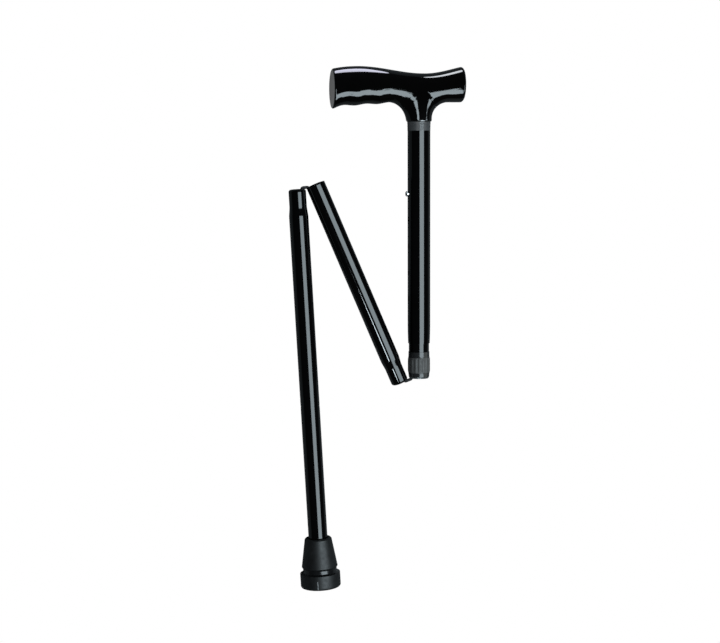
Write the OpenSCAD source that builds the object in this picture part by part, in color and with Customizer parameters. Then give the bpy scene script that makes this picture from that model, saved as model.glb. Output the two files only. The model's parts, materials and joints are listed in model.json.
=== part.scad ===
// Folding cane with a derby handle, height adjustment and four cord-strung tube sections.
// It lies half folded: the tube axes share one level plane, the handle points to +Y and +Z is up.
// Each section is drawn along its own axis, from its lower end to its handle end.

/* [Handle] */
// Reach of the long arm from the shaft axis
long_arm = 86; // [78:0.5:92]
// Reach of the short arm from the shaft axis
short_arm = 44.5; // [40:0.5:50]
// Height of the palm crest above the foot of the neck
crest_h = 52.7; // [50:0.1:56]
// Height of the dip over the shaft above the foot of the neck
dip_h = 46.1; // [44:0.1:48]
// Height of the underside above the foot of the neck
under_h = 18.6; // [17:0.1:20]
// Half thickness at the palm swell
palm_t = 14.4; // [13:0.1:15]
// Half thickness where the arms meet
waist_t = 12.8; // [12.6:0.1:13.6]
// Diameter of the round neck
neck_d = 24.8; // [24.4:0.1:26]
// Spacing of the finger waves under the long arm
finger_pitch = 22; // [20:0.5:24]
// Depth of the finger waves
finger_depth = 1.0; // [0:0.1:1.5]

/* [Height adjustment] */
// Outside diameter of the handle tube
outer_d = 22; // [21.8:0.1:23]
// Wall of the handle tube
outer_wall = 1.1; // [1:0.05:1.15]
// Height of the handle tube's lower end above the socket mouth
outer_low = 34.5; // [34:0.5:38]
// Height of the handle tube's top above the socket mouth
outer_top = 241.1; // [236:0.1:250]
// Height of the grey collar's band
band_h = 8.6; // [7:0.1:12]
// Height of the snap button above the socket mouth
button_h = 180.2; // [178:0.1:182]
// Spacing of the adjustment holes
hole_pitch = 25.4; // [24:0.1:25.4]
// Number of adjustment holes
hole_count = 5; // [3:1:5]
// Diameter of the snap button
button_d = 5.1; // [4.6:0.1:5.3]
// How far the button stands out of the handle tube
button_out = 2.3; // [1.5:0.1:2.8]

/* [Sections] */
// Outside diameter of the folding tubes
tube_d = 18.5; // [18.4:0.1:18.6]
// Wall of the folding tubes
tube_wall = 0.85; // [0.8:0.05:0.9]
// Length of the middle section, neck and all
middle_len = 211.1; // [190:0.1:230]
// Length of the lower section, neck and all
lower_len = 208.8; // [190:0.1:230]
// Bare length of the bottom section between its shoulder and the tip
bottom_bare = 128.7; // [100:0.1:150]
// Straight length of each swaged neck
neck_len = 17.5; // [15:0.5:18]
// Length of the taper behind each neck
taper_len = 8; // [7:0.5:9]

/* [Folded pose] */
// Angle between the handle section and the middle section
upper_fold = 23.3; // [15:0.1:30]
// Angle between the middle section and the lower section
lower_fold = 20.2; // [15:0.1:25]
// Distance of the upper hinge line from both tube axes
upper_reach = 9.9; // [9.9:0.1:11.5]
// Distance of the lower hinge line from both tube axes
lower_reach = 9.3; // [9.3:0.1:10.5]

/* [Cord] */
// Diameter of the elastic cord
cord_d = 3; // [2.6:0.1:3.2]

/* [Rubber tip] */
// Diameter of the ground ring
tip_d = 39.1; // [36:0.1:42]
// Height of the tip
tip_h = 49; // [44:0.5:52]
// Diameter across the top of the tip
tip_top_d = 26.3; // [25:0.1:28]
// Diameter across the foot of the tip's cone
tip_cone_d = 35.1; // [33:0.1:36]

/* [Hidden] */
$fn = 96;

black = "#101011";
grey = "#5a5d60";
steel = "#c4c7ca";
rubber = "#2c2c2d";

// Running and seating clearances
slip = 0.07;
bond = 0.03;
end_gap = 0.5;

// Radii shared by the tubes that slide and plug together
outer_r = outer_d / 2;
outer_bore = outer_r - outer_wall;
tube_r = tube_d / 2;
bore_r = tube_r - tube_wall;
neck_r = bore_r - slip;
neck_wall = 0.8;
inner_r = 9.2;
bush_bore = inner_r + slip;
cord_r = cord_d / 2;

// A neck stops with its shoulder this far outside the socket, where the two cones meet
seat_stop = 2.2;
cone_slope = (tube_r - neck_r) / taper_len;
mouth_h = taper_len - seat_stop;
mouth_r = bore_r + mouth_h * cone_slope + bond;
neck_h = neck_len + taper_len;
neck_in = neck_h - seat_stop;
lip_r = 2.4;

// Resting turn of each section about the vertical, and its hinge line
middle_turn = upper_fold - 180;
lower_turn = middle_turn + 180 - lower_fold;
function turned(p, a) = [p.x * cos(a) - p.y * sin(a), p.x * sin(a) + p.y * cos(a)];

// Plan of the lying cane measured from the shaft axis at the socket mouth
hinge_b0 = [-upper_reach, -end_gap / 2];
hinge_a0 = hinge_b0 + turned([upper_reach + lower_reach, -end_gap - middle_len], middle_turn);
lower_top0 = hinge_a0 + turned([-lower_reach, -end_gap / 2], lower_turn);
ground_run = lower_len + seat_stop + bottom_bare + tip_h;
ground0 = lower_top0 + turned([0, -ground_run], lower_turn);

// The outline's box is centred on the origin and stands on the tip's ring
neck_foot = outer_top + band_h;
box_left = lower_top0.x - neck_r;
box_low = ground0.y - tip_d / 2 * abs(sin(lower_turn));
upper_x = -(box_left + short_arm) / 2;
upper_y = -(box_low + neck_foot + crest_h) / 2;
axis_z = tip_d / 2;
hinge_b = hinge_b0 + [upper_x, upper_y];
hinge_a = hinge_a0 + [upper_x, upper_y];

// Places along a section, as plan points in the cane's frame
function upper_point(p) = p + [upper_x, upper_y];
function middle_point(p) = hinge_b + turned(p + [upper_reach, -end_gap / 2 - middle_len], middle_turn);
function lower_point(p) = hinge_a + turned(p + [-lower_reach, -end_gap / 2 - lower_len], lower_turn);

module place(p, a) {
  translate([p.x, p.y, axis_z]) rotate([0, 0, a]) rotate([-90, 0, 0]) children();
}
module upper_frame() { place(upper_point([0, 0]), 0) children(); }
module middle_frame() { place(middle_point([0, 0]), middle_turn) children(); }
module lower_frame() { place(lower_point([0, 0]), lower_turn) children(); }
module bottom_frame() { lower_frame() translate([0, 0, lower_len - ground_run]) children(); }

// Handle: elliptical ribs run from the outline in to a T-shaped spine, front and back alike
end_round = 1.6;
nose_round = 3.5;
crest_x = -60;
dip_x = 5.2;
end_drop = 2.4;
nose_run = 60;
nose_rise = 9.5;
neck_half = neck_d / 2;
wave_start = -30.3;
under_slope = 0.06;
heel_run = 12;
heel_drop = 2.3;
long_fillet = [-wave_start - neck_half, under_h + 1.2];
short_fillet = [16.6, 15.5];
long_foot = -neck_half - long_fillet.x;
short_foot = neck_half + short_fillet.x;
rib_steps = 7;
arm_steps = 11;
fillet_steps = 8;
stem_steps = 9;

function ease(t) = (1 - cos(180 * t)) / 2;
function top_of(x) =
  x < crest_x ? crest_h - end_drop * pow((crest_x - x) / (long_arm + crest_x), 2)
  : x < dip_x ? crest_h - (crest_h - dip_h) * ease((x - crest_x) / (dip_x - crest_x))
  : dip_h + nose_rise * ease((x - dip_x) / nose_run);
function heel_of(x) = heel_drop * pow(max(0, heel_run - long_arm - x) / heel_run, 2);
function under_of(x) =
  x > wave_start ? under_h
  : under_h - under_slope * (wave_start - x) - heel_of(x)
    - finger_depth * ease(2 * (wave_start - x) / finger_pitch);
function half_of(x) =
  x < crest_x ? palm_t - 0.9 * pow((crest_x - x) / (long_arm + crest_x), 2)
  : x < 0 ? palm_t + (waist_t - palm_t) * ease((x - crest_x) / -crest_x)
  : waist_t + 0.5 * ease(x / short_arm);

// Stations along the arms: [place, inset], the inset rounding the two end faces
stations = concat(
  [for (a = [0:30:60]) [-long_arm + end_round * (1 - cos(a)), end_round * (1 - sin(a))]],
  [for (i = [0:arm_steps - 1]) [end_round - long_arm + i / arm_steps * (long_foot + long_arm - end_round), 0]],
  [for (i = [0:fillet_steps]) [long_foot * (1 - i / fillet_steps), 0]],
  [for (i = [1:fillet_steps]) [short_foot * i / fillet_steps, 0]],
  [for (i = [1:3]) [short_foot + i / 3 * (short_arm - nose_round - short_foot), 0]],
  [for (a = [18:18:90]) [short_arm - nose_round * (1 - sin(a)), nose_round * (1 - cos(a))]]
);
last = len(stations) - 1;
fork = 3 + arm_steps + fillet_steps;

function long_edge(w) = [long_foot + long_fillet.x * sin(90 * w), under_h - long_fillet.y * (1 - cos(90 * w))];
function short_edge(w) = [short_foot - short_fillet.x * sin(90 * w), under_h - short_fillet.y * (1 - cos(90 * w))];
function spine_of(x) = [x, (top_of(x) + under_of(x)) / 2];
function lower_edge(x, inset) =
  x > long_foot && x < 0 ? long_edge(0.5 * (1 - x / long_foot))
  : x > 0 && x < short_foot ? short_edge(0.5 * (1 - x / short_foot))
  : [x, under_of(x) + inset];
stem_top = spine_of(0);
function stem_of(q) = stem_top * (1 - q / stem_steps);
function stem_half(q) = waist_t + (neck_half - waist_t) * q / stem_steps;
function stem_edge(q, side) =
  q == stem_steps ? [side * neck_half, 0]
  : side < 0 ? long_edge(0.5 + 0.5 * q / stem_steps)
  : short_edge(0.5 + 0.5 * q / stem_steps);

// Every rib as [edge point, spine point, half thickness, rib that owns the shared spine point]
ribs = concat(
  [for (i = [0:last]) let (x = stations[i][0], e = stations[i][1])
    [[x, top_of(x) - e], spine_of(x), half_of(x) - e, i]],
  [for (i = [0:fork]) let (x = stations[i][0], e = stations[i][1])
    [i == fork ? long_edge(0.5) : lower_edge(x, e), spine_of(x), half_of(x) - e, i]],
  [for (i = [fork:last]) let (x = stations[i][0], e = stations[i][1])
    [i == fork ? short_edge(0.5) : lower_edge(x, e), spine_of(x), half_of(x) - e, i]],
  [for (side = [-1, 1]) for (q = [1:stem_steps])
    [stem_edge(q, side), stem_of(q), stem_half(q), last + fork + last - fork + 2 + q]]
);
first_long = last + 1;
first_short = first_long + fork + 1;
first_left = first_short + last - fork + 1;
first_right = first_left + stem_steps;
span = 2 * rib_steps + 1;

function rib_point(r, k, z) =
  let (a = 90 * k / rib_steps, p = r[1] + (r[0] - r[1]) * cos(a))
  [p.x, p.y, z * r[2] * sin(a)];
function corner(r, k, z) =
  let (owner = k == rib_steps ? ribs[r][3] : r)
  owner * span + (z > 0 || k == 0 ? k : rib_steps + k);
function strip(r, s, flip) = [
  for (z = [1, -1]) for (k = [0:rib_steps - 1])
    let (a = corner(r, k, z), b = corner(s, k, z), c = corner(s, k + 1, z), d = corner(r, k + 1, z))
      each (flip == (z > 0) ? [[a, b, c], [a, c, d]] : [[a, c, b], [a, d, c]])
];
function end_ring(r, s) = concat(
  [for (k = [0:rib_steps]) corner(r, k, 1)],
  [for (k = [rib_steps - 1:-1:0]) corner(s, k, 1)],
  [for (k = [1:rib_steps]) corner(s, k, -1)],
  [for (k = [rib_steps - 1:-1:1]) corner(r, k, -1)]
);
function reversed(v) = [for (i = [len(v) - 1:-1:0]) v[i]];

grip_points = [
  for (r = ribs) each concat(
    [for (k = [0:rib_steps]) rib_point(r, k, 1)],
    [for (k = [1:rib_steps]) rib_point(r, k, -1)]
  )
];
grip_faces = concat(
  [for (i = [0:last - 1]) each strip(i, i + 1, true)],
  [for (i = [0:fork - 1]) each strip(first_long + i, first_long + i + 1, false)],
  [for (i = [0:last - fork - 1]) each strip(first_short + i, first_short + i + 1, false)],
  strip(first_long + fork, first_left, false),
  [for (q = [0:stem_steps - 2]) each strip(first_left + q, first_left + q + 1, false)],
  strip(first_short, first_right, true),
  [for (q = [0:stem_steps - 2]) each strip(first_right + q, first_right + q + 1, true)],
  [end_ring(0, first_long)],
  [reversed(end_ring(last, first_right - stem_steps - 1))],
  [reversed(end_ring(first_left + stem_steps - 1, first_right + stem_steps - 1))]
);

// Collar spigots, the handle's blind bore and its screw
top_spigot_r = 9;
top_spigot_h = 18;
low_spigot_h = 18;
cup_r = 7.4;
web_h = 3;
screw_r = 2;
screw_h = 38;
screw_head_r = 4;
screw_head_h = 2.6;
washer_r = 5.5;
washer_h = 1;
screw_seat = outer_top - web_h - washer_h;

// Tube profile: coned socket mouth below, swaged neck with a rolled lip above, each where asked for
function tube_outline(length, r, mouth, neck) =
  let (shoulder = length - neck_h, lip_in = lip_r - neck_wall)
  concat(
    [[r, 0]],
    neck ? concat(
      [[r, shoulder], [neck_r, shoulder + taper_len]],
      [for (a = [0:15:90]) [neck_r - lip_r * (1 - cos(a)), length - lip_r * (1 - sin(a))]],
      [for (a = [90:-15:0]) [neck_r - lip_r + lip_in * cos(a), length - lip_r + lip_in * sin(a)]],
      [[neck_r - neck_wall, shoulder + taper_len], [bore_r, shoulder]]
    ) : [[r, length], [bore_r, length]],
    mouth ? [[bore_r, mouth_h], [mouth_r, 0]] : [[bore_r, 0]]
  );
module tube(length, r, mouth, neck) {
  rotate_extrude() polygon(tube_outline(length, r, mouth, neck));
}
module side_hole(r, h) {
  translate([0, 0, h]) rotate([0, -90, 0]) cylinder(r = r, h = outer_d);
}

// Nut, bush and snap button
roll_h = 20;
roll_in = 0.46;
bush_r = outer_bore - bond;
bush_step = 0.1;
bush_in_tube = 14;
bush_low = 6.5;
slot_w = 1.2;
slot_h = 15;
nut_low = 0.3;
nut_top = 26.1;
nut_r = 10.85;
nut_rim_r = 10.25;
nut_bore = bush_r - bush_step + slip;
nut_lip_r = inner_r + 0.15;
flute_count = 16;
flute_r = 2.1;
flute_sink = 0.45;
inner_top = 208;
guide_r = outer_bore - slip;
guide_h = 4;
leaf_t = 0.6;
leaf_w = 7;
leaf_r = 7.5;
leaf_low = 168;
leaf_bend = 189;
rivet_r = 1.25;
button_root = leaf_r + 0.1;
button_tip = outer_r + button_out;
button_round = 1.1;

// Cord anchors and the cord's turns over the tube rims
plug_h = 8;
top_plug = 148;
bottom_plug = 66;
knot_r = 3.6;
knot_cut = 2.2;
socket_run = 32;
neck_run = 24;
spare_run = 35;
rim_sink = 0.3;
rim_at = (mouth_r + inner_r) / 2;
lip_at = neck_r - lip_r + 0.3;
wrap_r = cord_r + 0.65;
cord_sides = 10;
bend_steps = 7;

function bearing(v) = atan2(v.y, v.x);
function onward(from, to, way) =
  let (d = way * (to - from))
  from + way * (d - 360 * floor(d / 360));
function arc_stops(c, from, to, way) = [
  for (i = [0:bend_steps]) let (a = from + (to - from) * i / bend_steps)
    [c + wrap_r * [cos(a), sin(a)], a + way * 90]
];
// Stops of a cord that leaves one tube, turns over two rims and enters the next: [place, heading]
function cord_bend(start, start_way, rim, lip, stop, stop_way, way) =
  let (
    on = bearing(start - rim) + way * acos(wrap_r / norm(start - rim)),
    across = onward(on, bearing(lip - rim) - way * 90, way),
    off = onward(across, bearing(stop - lip) - way * acos(wrap_r / norm(stop - lip)), way)
  )
  concat(
    [[start, start_way]],
    arc_stops(rim, on, across, way),
    arc_stops(lip, across, off, way),
    [[stop, stop_way]]
  );
module swept_cord(stops) {
  rings = len(stops);
  points = [
    for (s = stops) for (k = [0:cord_sides - 1])
      let (a = 360 * k / cord_sides, side = cord_r * cos(a))
        [s[0].x - side * sin(s[1]), s[0].y + side * cos(s[1]), axis_z + cord_r * sin(a)]
  ];
  walls = [
    for (i = [0:rings - 2]) for (k = [0:cord_sides - 1])
      let (a = i * cord_sides + k, b = i * cord_sides + (k + 1) % cord_sides)
        each [[a, b + cord_sides, b], [a, a + cord_sides, b + cord_sides]]
  ];
  start_cap = [for (k = [0:cord_sides - 1]) k];
  end_cap = [for (k = [cord_sides - 1:-1:0]) (rings - 1) * cord_sides + k];
  polyhedron(points, concat([start_cap, end_cap], walls));
}
module cord_run(from, to) {
  translate([0, 0, from]) cylinder(r = cord_r, h = to - from);
}
module cord_plug(from) {
  translate([0, 0, from]) difference() {
    cylinder(r = bore_r - bond, h = plug_h);
    translate([0, 0, -1]) cylinder(r = cord_r + bond, h = plug_h + 2);
  }
}
module knot() {
  difference() {
    translate([0, 0, knot_cut]) sphere(r = knot_r);
    translate([-knot_r, -knot_r, -2 * knot_r]) cube(2 * knot_r);
  }
}

// Rubber tip profile sizes
tip_r = tip_d / 2;
ring_h = 14.5;
ring_round = 2.2;
groove_r = tip_cone_d / 2 - 1.1;
cone_low = 20.5;
tip_floor = 10;
tip_washer_h = 1.6;
top_chamfer = 1.1;
cord_end = neck_in + spare_run;
tread_r = [7, 12.5];
tread_w = 2;
tread_h = 1.2;
tube_foot = tip_floor + tip_washer_h;

module handle_grip() {
  color(black) difference() {
    translate([upper_x, upper_y + neck_foot, axis_z]) polyhedron(grip_points, grip_faces);
    upper_frame() translate([0, 0, neck_foot - 1]) cylinder(r = top_spigot_r + bond, h = top_spigot_h + 1.3);
    upper_frame() translate([0, 0, neck_foot]) cylinder(r = screw_r + bond, h = screw_h);
  }
}
module handle_collar() {
  color(grey) upper_frame() translate([0, 0, outer_top]) rotate_extrude() polygon([
    [screw_r + bond, -web_h], [cup_r, -web_h], [cup_r, -low_spigot_h],
    [outer_bore - bond, -low_spigot_h], [outer_bore - bond, 0],
    [outer_r + 0.1, 0], [outer_r + 0.35, band_h], [top_spigot_r, band_h],
    [top_spigot_r, band_h + top_spigot_h], [screw_r + bond, band_h + top_spigot_h]
  ]);
}
module handle_screw() {
  color(steel) upper_frame() translate([0, 0, screw_seat]) union() {
    cylinder(r = screw_r, h = screw_h);
    translate([0, 0, -screw_head_h]) cylinder(r = screw_head_r, h = screw_head_h);
  }
}
module screw_washer() {
  color(steel) upper_frame() translate([0, 0, screw_seat]) difference() {
    cylinder(r = washer_r, h = washer_h);
    translate([0, 0, -1]) cylinder(r = screw_r + slip, h = washer_h + 2);
  }
}
module outer_tube() {
  color(black) upper_frame() difference() {
    rotate_extrude() polygon([
      [outer_bore, outer_low], [outer_r - roll_in, outer_low], [outer_r - roll_in / 4, outer_low + roll_h / 2],
      [outer_r, outer_low + roll_h], [outer_r, outer_top], [outer_bore, outer_top]
    ]);
    for (i = [0:hole_count - 1]) side_hole(button_d / 2 + 0.2, button_h - i * hole_pitch);
  }
}
module collet_bush() {
  color(black) upper_frame() difference() {
    rotate_extrude() polygon([
      [bush_bore, bush_low], [bush_r - bush_step, bush_low], [bush_r - bush_step, nut_top],
      [bush_r, nut_top], [bush_r, outer_low + bush_in_tube], [bush_bore, outer_low + bush_in_tube]
    ]);
    for (a = [0:90:270]) rotate([0, 0, a]) translate([0, -slot_w / 2, bush_low - 1])
      cube([outer_r, slot_w, slot_h + 1]);
  }
}
module lock_nut() {
  color(grey) upper_frame() difference() {
    rotate_extrude() polygon([
      [nut_lip_r, nut_low], [nut_lip_r + 0.3, nut_low], [nut_r - 0.6, 4.6], [nut_r, 7.6], [nut_r, 18.6],
      [nut_rim_r, 21.6], [nut_rim_r, nut_top - 0.3], [nut_rim_r - 0.3, nut_top], [nut_bore, nut_top],
      [nut_bore, bush_low - 0.3], [nut_lip_r, bush_low - 0.3]
    ]);
    for (i = [0:flute_count - 1]) rotate([0, 0, 360 * i / flute_count])
      translate([nut_r + flute_r - flute_sink, 0, nut_low - 1]) cylinder(r = flute_r, h = nut_top);
  }
}
module inner_tube() {
  color(black) upper_frame() difference() {
    tube(inner_top, inner_r, true, false);
    side_hole(button_d / 2 + 0.1, button_h);
  }
}
module inner_guide() {
  color(black) upper_frame() translate([0, 0, inner_top]) union() {
    cylinder(r = guide_r, h = guide_h);
    translate([0, 0, -guide_h]) cylinder(r = bore_r - bond, h = guide_h + 1);
  }
}
module button_spring() {
  color(steel) upper_frame() difference() {
    rotate([90, 0, 0]) linear_extrude(leaf_w, center = true) {
      for (x = [-leaf_r, leaf_r - leaf_t]) translate([x, leaf_low]) square([leaf_t, leaf_bend - leaf_low]);
      translate([0, leaf_bend]) difference() {
        circle(r = leaf_r);
        circle(r = leaf_r - leaf_t);
        translate([-outer_d, -2 * outer_d]) square(2 * outer_d);
      }
    }
    side_hole(rivet_r + bond, button_h);
  }
}
module push_button() {
  color(steel) upper_frame() translate([0, 0, button_h]) rotate([0, -90, 0]) rotate_extrude() union() {
    translate([0, leaf_r - 2 * leaf_t]) square([rivet_r, 2 * leaf_t + 1]);
    translate([0, button_root]) square([button_d / 2, button_tip - button_round - button_root]);
    translate([0, button_tip - 2 * button_round]) square([button_d / 2 - button_round, 2 * button_round]);
    translate([button_d / 2 - button_round, button_tip - button_round]) circle(r = button_round);
  }
}
module cord_plug_top() { color(black) upper_frame() cord_plug(top_plug); }
module cord_knot_top() { color(black) upper_frame() translate([0, 0, top_plug + plug_h]) knot(); }
module cord_upper() { color(black) upper_frame() cord_run(socket_run, top_plug + plug_h); }
module cord_bend_upper() {
  color(black) swept_cord(cord_bend(
    upper_point([0, socket_run]), -90, upper_point([-rim_at, rim_sink]),
    middle_point([-lip_at, middle_len - rim_sink]), middle_point([0, middle_len - neck_run]),
    middle_turn - 90, -1
  ));
}
module middle_tube() { color(black) middle_frame() tube(middle_len, tube_r, true, true); }
module cord_middle() { color(black) middle_frame() cord_run(socket_run, middle_len - neck_run); }
module cord_bend_lower() {
  color(black) swept_cord(cord_bend(
    middle_point([0, socket_run]), middle_turn - 90, middle_point([rim_at, rim_sink]),
    lower_point([lip_at, lower_len - rim_sink]), lower_point([0, lower_len - neck_run]),
    lower_turn - 90, 1
  ));
}
module lower_tube() { color(black) lower_frame() tube(lower_len, tube_r, true, true); }
module cord_lower() { color(black) lower_frame() cord_run(cord_end, lower_len - neck_run); }
module bottom_tube() {
  color(black) bottom_frame() translate([0, 0, tube_foot])
    tube(tip_h + bottom_bare + neck_h - tube_foot, tube_r, false, true);
}
module cord_bottom() {
  color(black) bottom_frame() cord_run(bottom_plug, ground_run - lower_len + cord_end);
}
module cord_plug_bottom() { color(black) bottom_frame() cord_plug(bottom_plug); }
module cord_knot_bottom() { color(black) bottom_frame() translate([0, 0, bottom_plug]) mirror([0, 0, 1]) knot(); }
module rubber_tip() {
  color(rubber) bottom_frame() difference() {
    rotate_extrude() polygon(concat(
      [[0, 0]],
      [for (a = [0:15:90]) [tip_r - ring_round * (1 - sin(a)), ring_round * (1 - cos(a))]],
      [[tip_r, ring_h - 0.7], [tip_r - 0.7, ring_h], [groove_r, ring_h + 1], [groove_r, cone_low - 1.5]],
      [[tip_cone_d / 2, cone_low], [tip_top_d / 2, tip_h - top_chamfer]],
      [[tip_top_d / 2 - top_chamfer, tip_h], [tube_r + 1.4, tip_h], [tube_r + bond, tip_h - 1.4]],
      [[tube_r + bond, tip_floor], [0, tip_floor]]
    ));
    for (r = tread_r) translate([0, 0, -1]) difference() {
      cylinder(r = r + tread_w, h = tread_h + 1);
      cylinder(r = r, h = tread_h + 1);
    }
  }
}
module tip_washer() {
  color(steel) bottom_frame() translate([0, 0, tip_floor]) cylinder(r = tube_r - 0.2, h = tip_washer_h);
}

handle_grip();
handle_collar();
handle_screw();
screw_washer();
outer_tube();
collet_bush();
lock_nut();
inner_tube();
inner_guide();
button_spring();
push_button();
cord_plug_top();
cord_knot_top();
cord_upper();
cord_bend_upper();
middle_tube();
cord_middle();
cord_bend_lower();
lower_tube();
cord_lower();
bottom_tube();
cord_bottom();
cord_plug_bottom();
cord_knot_bottom();
rubber_tip();
tip_washer();
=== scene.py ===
"""Looks of the half-folded cane: gloss black tubes and handle, grey fittings, rubber tip, white studio."""
import json
import math

import bmesh
import bpy
import numpy as np
from mathutils import Matrix, Vector


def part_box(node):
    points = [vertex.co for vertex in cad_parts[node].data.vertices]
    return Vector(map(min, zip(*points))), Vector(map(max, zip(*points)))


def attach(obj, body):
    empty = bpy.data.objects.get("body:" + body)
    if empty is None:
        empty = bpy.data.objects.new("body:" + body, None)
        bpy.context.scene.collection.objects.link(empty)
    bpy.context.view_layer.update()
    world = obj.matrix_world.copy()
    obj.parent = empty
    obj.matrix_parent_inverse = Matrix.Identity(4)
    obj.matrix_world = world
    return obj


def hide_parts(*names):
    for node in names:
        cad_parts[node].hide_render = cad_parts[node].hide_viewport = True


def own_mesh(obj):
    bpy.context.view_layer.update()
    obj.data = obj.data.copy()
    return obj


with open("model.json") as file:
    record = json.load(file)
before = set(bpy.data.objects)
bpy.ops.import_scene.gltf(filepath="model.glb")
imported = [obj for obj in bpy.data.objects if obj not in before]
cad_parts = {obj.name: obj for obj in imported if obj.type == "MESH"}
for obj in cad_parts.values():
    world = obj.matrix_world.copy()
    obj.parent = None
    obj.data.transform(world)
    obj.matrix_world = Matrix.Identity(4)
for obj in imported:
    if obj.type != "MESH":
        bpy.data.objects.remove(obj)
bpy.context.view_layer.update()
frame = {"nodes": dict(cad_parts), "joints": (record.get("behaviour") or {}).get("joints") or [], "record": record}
joints = {joint["name"]: joint for joint in frame["joints"]}

# Sizes are in millimetres along each section's own axis, from its lower end to its handle end
MM = 0.001
SIDES = 128
OUTER_R, OUTER_BORE = 11.0, 9.9
OUTER_LOW, OUTER_TOP = 34.5, 241.1
ROLL_H, ROLL_IN = 20.0, 0.46
BAND_H = 8.6
BUTTON_H, HOLE_PITCH, HOLE_COUNT = 180.2, 25.4, 5
HOLE_R, INNER_HOLE_R = 2.75, 2.65
INNER_R, INNER_TOP = 9.2, 208.0
TUBE_R, BORE_R, NECK_R, NECK_WALL = 9.25, 8.4, 8.33, 0.8
NECK_LEN, TAPER_LEN, SEAT_STOP, LIP_R = 17.5, 8.0, 2.2, 2.4
FIT_GAP, END_GAP = 0.03, 0.5
NECK_H = NECK_LEN + TAPER_LEN
MOUTH_H = TAPER_LEN - SEAT_STOP
MOUTH_R = BORE_R + MOUTH_H * (TUBE_R - NECK_R) / TAPER_LEN + FIT_GAP
MIDDLE_LEN, LOWER_LEN, BOTTOM_BARE = 211.1, 208.8, 128.7
UPPER_REACH, LOWER_REACH = 9.9, 9.3
TIP_H, TIP_R, TIP_TOP_R, TIP_CONE_R = 49.0, 19.55, 13.15, 17.55
TUBE_FOOT = 11.6
GROUND_RUN = LOWER_LEN + SEAT_STOP + BOTTOM_BARE + TIP_H
EDGE = 0.2
WELD = 0.002 * MM
SHARP_ANGLE = math.radians(32)


# Frames of the tube sections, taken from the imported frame

def turned(x, y, turn):
    """A plan vector in millimetres, turned about the vertical, in metres."""
    return Matrix.Rotation(turn, 3, "Z") @ Vector((x * MM, y * MM, 0))


def section(point, turn):
    """Frame of a tube section in millimetres, with z along the tube towards the handle."""
    along = Matrix.Rotation(turn, 4, "Z") @ Matrix.Rotation(-math.pi / 2, 4, "X")
    return Matrix.Translation(point) @ along @ Matrix.Scale(MM, 4)


def hinged(fold, seat, reach, length):
    """Frame of a folding section, from its hinge line and the axis that it slides along."""
    axis = Vector(joints[seat]["axis"])
    turn = math.atan2(-axis.x, axis.y)
    hinge = Vector(joints[fold]["pos_m"])
    return section(hinge + turned(reach, -END_GAP / 2 - length, turn), turn)


tube_low, tube_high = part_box("outer_tube")
axis_x = (tube_low.x + tube_high.x) / 2
axis_z = (tube_low.z + tube_high.z) / 2
mouth_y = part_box("inner_tube")[0].y
UPPER = section(Vector((axis_x, mouth_y, axis_z)), 0)
MIDDLE = hinged("upper_fold", "upper_seat", UPPER_REACH, MIDDLE_LEN)
LOWER = hinged("lower_fold", "lower_seat", -LOWER_REACH, LOWER_LEN)
BOTTOM = LOWER @ Matrix.Translation((0, 0, LOWER_LEN - GROUND_RUN))
GRIP_FOOT = Vector((axis_x, mouth_y + (OUTER_TOP + BAND_H) * MM, axis_z))


# Materials

NOISE_LOW, NOISE_HIGH, NOISE_ROUGHNESS = 0.3, 0.7, 0.55
SMUDGE_RATIO, SMUDGE_DETAIL, GRAIN_DETAIL = 1.7, 5.0, 2.0


def material(name):
    """A new node material and its shader, with functions that add nodes to it and link them."""
    made = bpy.data.materials.new(name)
    made.use_nodes = True
    tree = made.node_tree

    def add(kind, **inputs):
        node = tree.nodes.new(kind)
        for key, value in inputs.items():
            node.inputs[key.replace("_", " ")].default_value = value
        return node

    return made, tree.nodes["Principled BSDF"], add, tree.links.new


def noise(add, link, scale, detail=3.0):
    """Noise in the object's own space, with features of about 1/scale metres."""
    place = add("ShaderNodeTexCoord")
    grain = add("ShaderNodeTexNoise", Scale=scale, Detail=detail, Roughness=NOISE_ROUGHNESS)
    link(place.outputs["Object"], grain.inputs["Vector"])
    return grain.outputs["Fac"]


def spread_to(add, link, value, low, high):
    """A noise value spread from its usual range over another one."""
    node = add("ShaderNodeMapRange", From_Min=NOISE_LOW, From_Max=NOISE_HIGH, To_Min=low, To_Max=high)
    link(value, node.inputs["Value"])
    return node.outputs["Result"]


def tinted(add, link, value, dark, light):
    """A colour that runs from dark to light with a noise value."""
    ramp = add("ShaderNodeValToRGB")
    for stop, position, colour in zip(ramp.color_ramp.elements, (NOISE_LOW, NOISE_HIGH), (dark, light)):
        stop.position = position
        stop.color = (*colour, 1)
    link(value, ramp.inputs["Fac"])
    return ramp.outputs["Color"]


def bumped(add, link, shader, value, depth):
    """Bump of that depth in metres."""
    bump = add("ShaderNodeBump", Strength=1.0, Distance=depth)
    link(value, bump.inputs["Height"])
    link(bump.outputs["Normal"], shader.inputs["Normal"])


def surface(name, dark, light, rough, grain, depth, patch=60.0, metallic=0.0):
    """A material with patchy colour and roughness, and a fine grain in relief; grain and patch are per metre."""
    made, shader, add, link = material(name)
    patches = noise(add, link, patch)
    link(tinted(add, link, patches, dark, light), shader.inputs["Base Color"])
    smudges = noise(add, link, patch * SMUDGE_RATIO, SMUDGE_DETAIL)
    link(spread_to(add, link, smudges, *rough), shader.inputs["Roughness"])
    bumped(add, link, shader, noise(add, link, grain, GRAIN_DETAIL), depth)
    shader.inputs["Metallic"].default_value = metallic
    return made


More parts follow.
